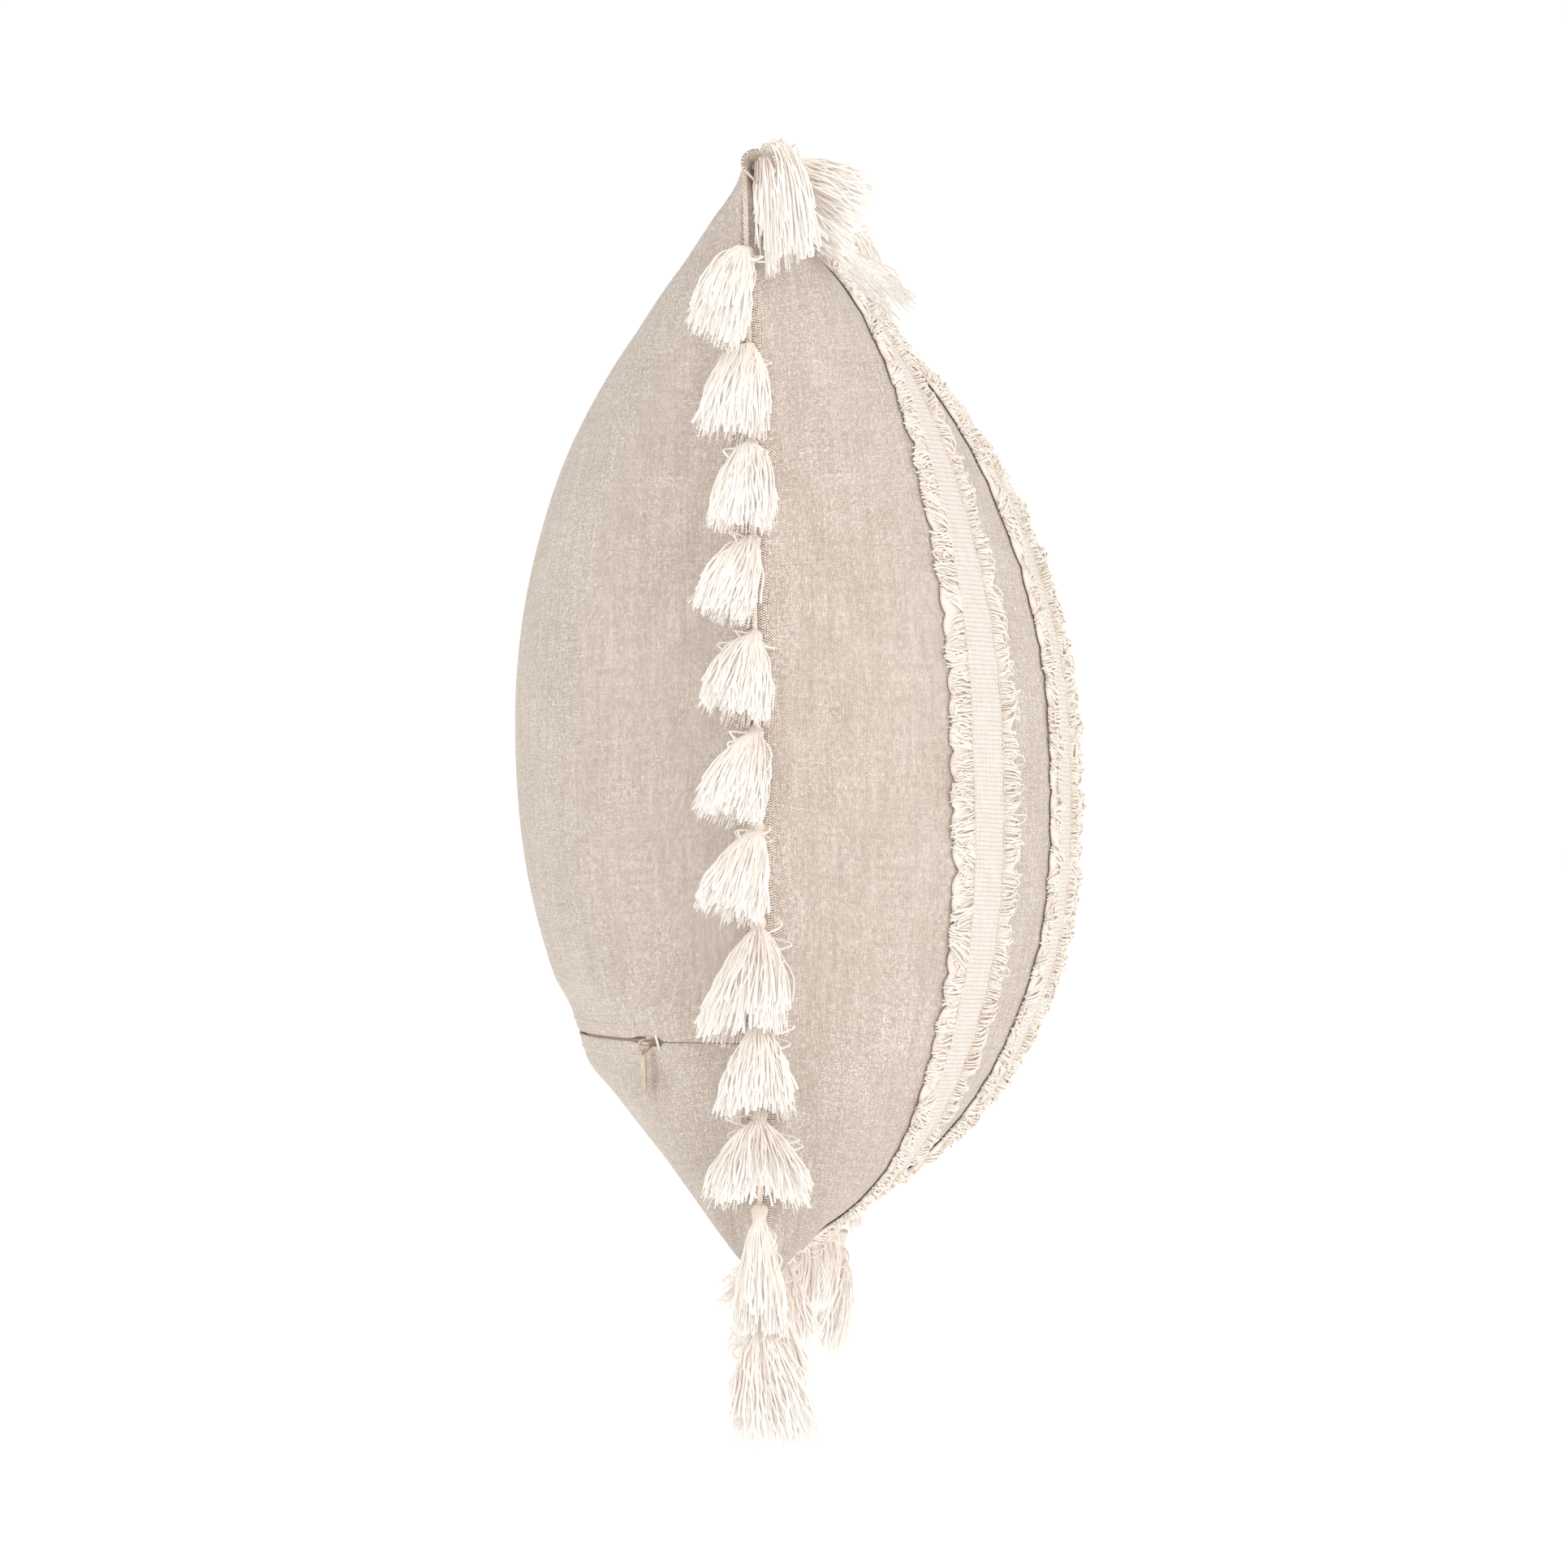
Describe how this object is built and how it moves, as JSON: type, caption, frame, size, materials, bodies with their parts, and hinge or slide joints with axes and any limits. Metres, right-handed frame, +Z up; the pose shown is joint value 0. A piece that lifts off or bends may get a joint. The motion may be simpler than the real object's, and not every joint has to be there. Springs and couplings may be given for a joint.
{
  "type": "throw pillow",
  "caption": "Square throw pillow: stuffed two-panel linen cover with raised fringed bands down the front, a back zip with sliding pull, cotton tassels along all sides and a fibre-filled insert.",
  "frame": {"origin": "the fullest point of the back panel, where the pillow leans on what holds it upright", "axes": "+Y out of the back along the mount's normal, +Z up, +X to the right of somebody who faces the back; the front faces -Y"},
  "size_m": [0.5228, 0.2443, 0.5226],
  "materials": {
    "linen": "plain linen-look weave, matt",
    "band_tape": "fine ribbed woven cotton tape, matt",
    "band_fringe": "frayed brushed cotton yarn, matt",
    "trim_heading": "woven cotton heading tape, matt",
    "tassel": "loose two-ply cotton yarn, matt",
    "thread": "sewing thread",
    "zip_tape": "knitted polyester tape, matt",
    "zip_coil": "nylon coil, satin",
    "zip_stop": "plain, satin",
    "zip_metal": "beige enamel, satin",
    "insert_casing": "white non-woven casing, matt",
    "filling": "polyester fibre, matt"
  },
  "bodies": {
    "pillow": {"front_panel": "linen", "back_panel_upper": "linen", "back_panel_lower": "linen", "zip_facing_upper": "linen", "zip_facing_lower": "linen", "zip_tape_upper": "zip_tape", "zip_tape_lower": "zip_tape", "zip_coil_upper": "zip_coil", "zip_coil_lower": "zip_coil", "zip_top_stop": "zip_stop", "zip_bottom_stop": "zip_stop", "zip_bar_tacks": "thread", "insert_front": "insert_casing", "insert_back": "insert_casing", "insert_filling": "filling", "band_tape_1": "band_tape", "band_tape_2": "band_tape", "band_tape_3": "band_tape", "band_tape_4": "band_tape", "band_fringe_1": "band_fringe", "band_fringe_2": "band_fringe", "band_fringe_3": "band_fringe", "band_fringe_4": "band_fringe", "trim_heading_top": "trim_heading", "trim_heading_bottom": "trim_heading", "trim_heading_left": "trim_heading", "trim_heading_right": "trim_heading", "corner_tassel_top_left": "tassel", "corner_tassel_top_right": "tassel", "left_tassel_1": "tassel", "left_tassel_2": "tassel", "left_tassel_3": "tassel", "left_tassel_4": "tassel", "left_tassel_5": "tassel", "left_tassel_6": "tassel", "left_tassel_7": "tassel", "left_tassel_8": "tassel", "left_tassel_9": "tassel", "left_tassel_10": "tassel", "left_tassel_11": "tassel", "right_tassels": "tassel", "top_tassels": "tassel"},
    "zip_slider": {"zip_slider": "zip_metal"},
    "pull_ring": {"zip_pull_ring": "zip_metal"},
    "pull_tab": {"zip_pull_tab": "zip_metal"},
    "bottom_tassel_1": {"bottom_tassel_1": "tassel"},
    "bottom_tassel_2": {"bottom_tassel_2": "tassel"},
    "bottom_tassel_3": {"bottom_tassel_3": "tassel"},
    "bottom_tassel_4": {"bottom_tassel_4": "tassel"},
    "bottom_tassel_5": {"bottom_tassel_5": "tassel"},
    "bottom_tassel_6": {"bottom_tassel_6": "tassel"},
    "bottom_tassel_7": {"bottom_tassel_7": "tassel"},
    "bottom_tassel_8": {"bottom_tassel_8": "tassel"},
    "bottom_tassel_9": {"bottom_tassel_9": "tassel"},
    "bottom_tassel_10": {"bottom_tassel_10": "tassel"},
    "bottom_tassel_11": {"bottom_tassel_11": "tassel"},
    "corner_tassel_bottom_left": {"corner_tassel_bottom_left": "tassel"},
    "corner_tassel_bottom_right": {"corner_tassel_bottom_right": "tassel"}
  },
  "joints": [
    {"name": "slider_travel", "type": "hinge", "parent": "pillow", "child": "zip_slider", "pos_m": [0, -0.37845, -0.11545], "axis": [0, 0, -1], "range_deg": [0, 58.9]},
    {"name": "pull_ring_lift", "type": "hinge", "parent": "zip_slider", "child": "pull_ring", "pos_m": [-0.17451, -0.06991, -0.11614], "axis": [0.8704, 0.4923, 0], "range_deg": [0, 85]},
    {"name": "pull_tab_swing", "type": "hinge", "parent": "pull_ring", "child": "pull_tab", "pos_m": [-0.17485, -0.06931, -0.11952], "axis": [-0.4923, 0.8704, 0], "range_deg": [-60, 60]},
    {"name": "bottom_tassel_1_swing", "type": "hinge", "parent": "pillow", "child": "bottom_tassel_1", "pos_m": [-0.19183, -0.12, -0.21386], "axis": [1, 0, 0], "range_deg": [-30, 30]},
    {"name": "bottom_tassel_2_swing", "type": "hinge", "parent": "pillow", "child": "bottom_tassel_2", "pos_m": [-0.15346, -0.12, -0.20868], "axis": [1, 0, 0], "range_deg": [-30, 30]},
    {"name": "bottom_tassel_3_swing", "type": "hinge", "parent": "pillow", "child": "bottom_tassel_3", "pos_m": [-0.1151, -0.12, -0.20465], "axis": [1, 0, 0], "range_deg": [-30, 30]},
    {"name": "bottom_tassel_4_swing", "type": "hinge", "parent": "pillow", "child": "bottom_tassel_4", "pos_m": [-0.07673, -0.12, -0.20178], "axis": [1, 0, 0], "range_deg": [-30, 30]},
    {"name": "bottom_tassel_5_swing", "type": "hinge", "parent": "pillow", "child": "bottom_tassel_5", "pos_m": [-0.03837, -0.12, -0.20005], "axis": [1, 0, 0], "range_deg": [-30, 30]},
    {"name": "bottom_tassel_6_swing", "type": "hinge", "parent": "pillow", "child": "bottom_tassel_6", "pos_m": [0, -0.12, -0.19948], "axis": [1, 0, 0], "range_deg": [-30, 30]},
    {"name": "bottom_tassel_7_swing", "type": "hinge", "parent": "pillow", "child": "bottom_tassel_7", "pos_m": [0.03837, -0.12, -0.20005], "axis": [1, 0, 0], "range_deg": [-30, 30]},
    {"name": "bottom_tassel_8_swing", "type": "hinge", "parent": "pillow", "child": "bottom_tassel_8", "pos_m": [0.07673, -0.12, -0.20178], "axis": [1, 0, 0], "range_deg": [-30, 30]},
    {"name": "bottom_tassel_9_swing", "type": "hinge", "parent": "pillow", "child": "bottom_tassel_9", "pos_m": [0.1151, -0.12, -0.20465], "axis": [1, 0, 0], "range_deg": [-30, 30]},
    {"name": "bottom_tassel_10_swing", "type": "hinge", "parent": "pillow", "child": "bottom_tassel_10", "pos_m": [0.15346, -0.12, -0.20868], "axis": [1, 0, 0], "range_deg": [-30, 30]},
    {"name": "bottom_tassel_11_swing", "type": "hinge", "parent": "pillow", "child": "bottom_tassel_11", "pos_m": [0.19183, -0.12, -0.21386], "axis": [1, 0, 0], "range_deg": [-30, 30]},
    {"name": "corner_tassel_bottom_left_swing", "type": "hinge", "parent": "pillow", "child": "corner_tassel_bottom_left", "pos_m": [-0.23019, -0.12, -0.22019], "axis": [1, 0, 0], "range_deg": [-30, 30]},
    {"name": "corner_tassel_bottom_right_swing", "type": "hinge", "parent": "pillow", "child": "corner_tassel_bottom_right", "pos_m": [0.23019, -0.12, -0.22019], "axis": [1, 0, 0], "range_deg": [-30, 30]}
  ]
}
